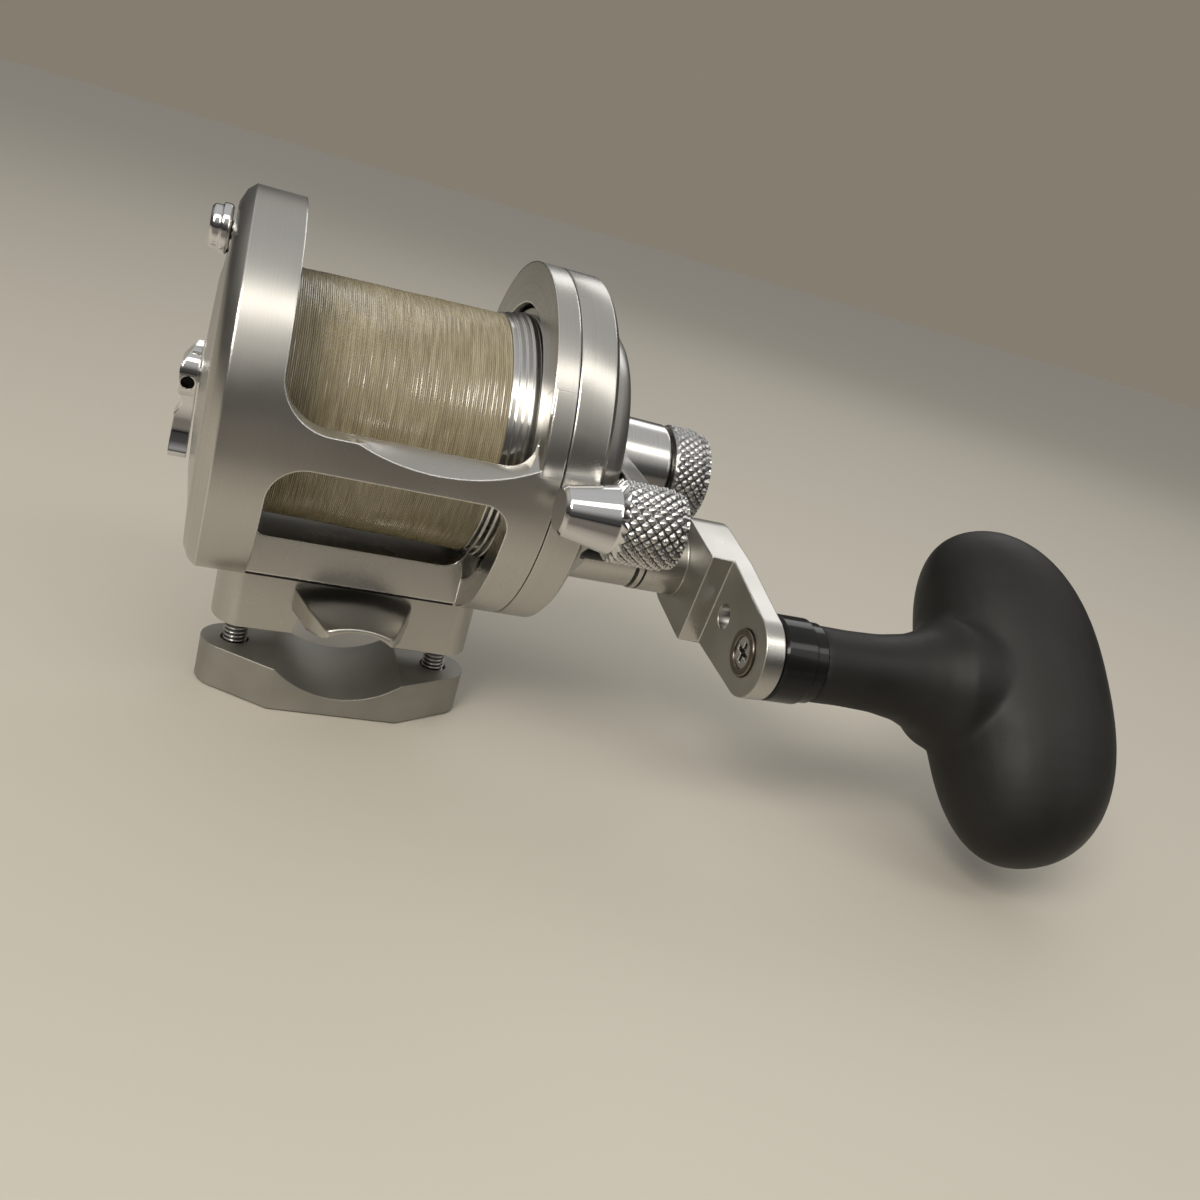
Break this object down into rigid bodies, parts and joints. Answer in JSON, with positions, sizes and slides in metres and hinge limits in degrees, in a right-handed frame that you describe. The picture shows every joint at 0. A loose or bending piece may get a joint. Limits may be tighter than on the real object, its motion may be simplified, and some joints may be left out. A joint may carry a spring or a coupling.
{
  "type": "conventional fishing reel",
  "caption": "Conventional fishing reel with an open-topped metal frame, lever drag, knurled knobs, cranked handle with a T-bar grip, wound line and a two-screw rod clamp.",
  "frame": {"origin": "on the rod's axis under the middle of the spool", "axes": "+X to the handle side along the spool, +Y along the rod to its tip, +Z from the rod up to the reel"},
  "size_m": [0.18, 0.0927, 0.0875],
  "materials": {
    "anodised": "satin anodised, fine turning marks",
    "polished": "polished",
    "chrome": "mirror polish",
    "steel": "turned",
    "dark_steel": "oxide",
    "nickel": "satin",
    "blasted": "bead blasted grey",
    "brass": "cut",
    "bronze": "dull",
    "line": "translucent straw nylon line",
    "carbon": "woven carbon fibre",
    "black_gloss": "glossy black",
    "rubber": "matte moulded"
  },
  "bodies": {
    "frame_body": {"frame": "anodised", "right_side_plate": "anodised", "side_plate_screws": "steel", "rod_foot": "nickel", "foot_screws": "steel", "clamp_screws": "steel", "pinion_bearing": "steel", "anti_reverse_clutch": "dark_steel", "handle_bearing": "steel", "strike_spring": "steel", "click_spring": "steel", "spool_shaft": "steel"},
    "drag_slide": {"cam_collar": "steel", "drag_springs": "steel"},
    "spool": {"spool": "anodised", "line_core": "line", "line_winding": "line", "spool_bearings": "steel", "click_gear": "brass", "drag_washer": "carbon"},
    "pinion": {"pinion": "steel", "drag_rotor": "steel"},
    "lever": {"drag_lever": "polished", "lever_knob": "chrome", "preset_spring": "steel"},
    "preset": {"preset_knob": "polished"},
    "strike": {"strike_button": "black_gloss"},
    "handle": {"main_gear": "brass", "handle_shaft": "steel", "handle_arm": "anodised", "handle_nut": "steel", "nut_lock_screw": "steel", "knob_spindle": "steel", "spindle_bush": "bronze"},
    "knob": {"grip_core": "rubber", "grip_ferrule": "black_gloss", "grip_bar": "rubber", "knob_bearings": "steel"},
    "cast": {"cast_lever": "chrome", "cast_plunger": "steel"},
    "clicker": {"clicker_button": "chrome", "click_pawl": "steel"},
    "clamp": {"rod_clamp": "blasted"}
  },
  "joints": [
    {"name": "handle_spin", "type": "hinge", "parent": "frame_body", "child": "handle", "pos_m": [0, -0.00237, 0.02567], "axis": [1, 0, 0], "continuous": true},
    {"name": "knob_spin", "type": "hinge", "parent": "handle", "child": "knob", "pos_m": [0, -0.03208, 0.02085], "axis": [1, 0, 0], "continuous": true},
    {"name": "pinion_spin", "type": "hinge", "parent": "drag_slide", "child": "pinion", "pos_m": [0, 0, 0.0425], "axis": [1, 0, 0], "continuous": true},
    {"name": "drag_shift", "type": "slide", "parent": "frame_body", "child": "drag_slide", "axis": [-1, 0, 0], "range_m": [0, 0.0006]},
    {"name": "spool_spin", "type": "hinge", "parent": "frame_body", "child": "spool", "pos_m": [0, 0, 0.0425], "axis": [1, 0, 0], "continuous": true},
    {"name": "drag_lever_turn", "type": "hinge", "parent": "frame_body", "child": "lever", "pos_m": [0, 0, 0.0425], "axis": [-1, 0, 0], "range_deg": [0, 110]},
    {"name": "preset_turn", "type": "hinge", "parent": "lever", "child": "preset", "pos_m": [0, 0, 0.0425], "axis": [1, 0, 0], "range_deg": [-180, 180]},
    {"name": "strike_press", "type": "slide", "parent": "frame_body", "child": "strike", "axis": [-1, 0, 0], "range_m": [0, 0.0012], "stiffness_N_per_m": 400, "springref_m": -0.001},
    {"name": "cast_turn", "type": "hinge", "parent": "frame_body", "child": "cast", "pos_m": [0, 0, 0.0425], "axis": [1, 0, 0], "range_deg": [-60, 60]},
    {"name": "click_slide", "type": "slide", "parent": "frame_body", "child": "clicker", "axis": [0, 0, -1], "range_m": [0, 0.003]},
    {"name": "clamp_slide", "type": "slide", "parent": "frame_body", "child": "clamp", "axis": [0, 0, 1], "range_m": [0, 0.005]}
  ],
  "couplings": [
    {"joint": "pinion_spin", "follows": "handle_spin", "ratio": -3.25},
    {"joint": "spool_spin", "follows": "handle_spin", "ratio": -3.25},
    {"joint": "drag_shift", "follows": "drag_lever_turn", "m_per_rad": 0.0003125}
  ]
}
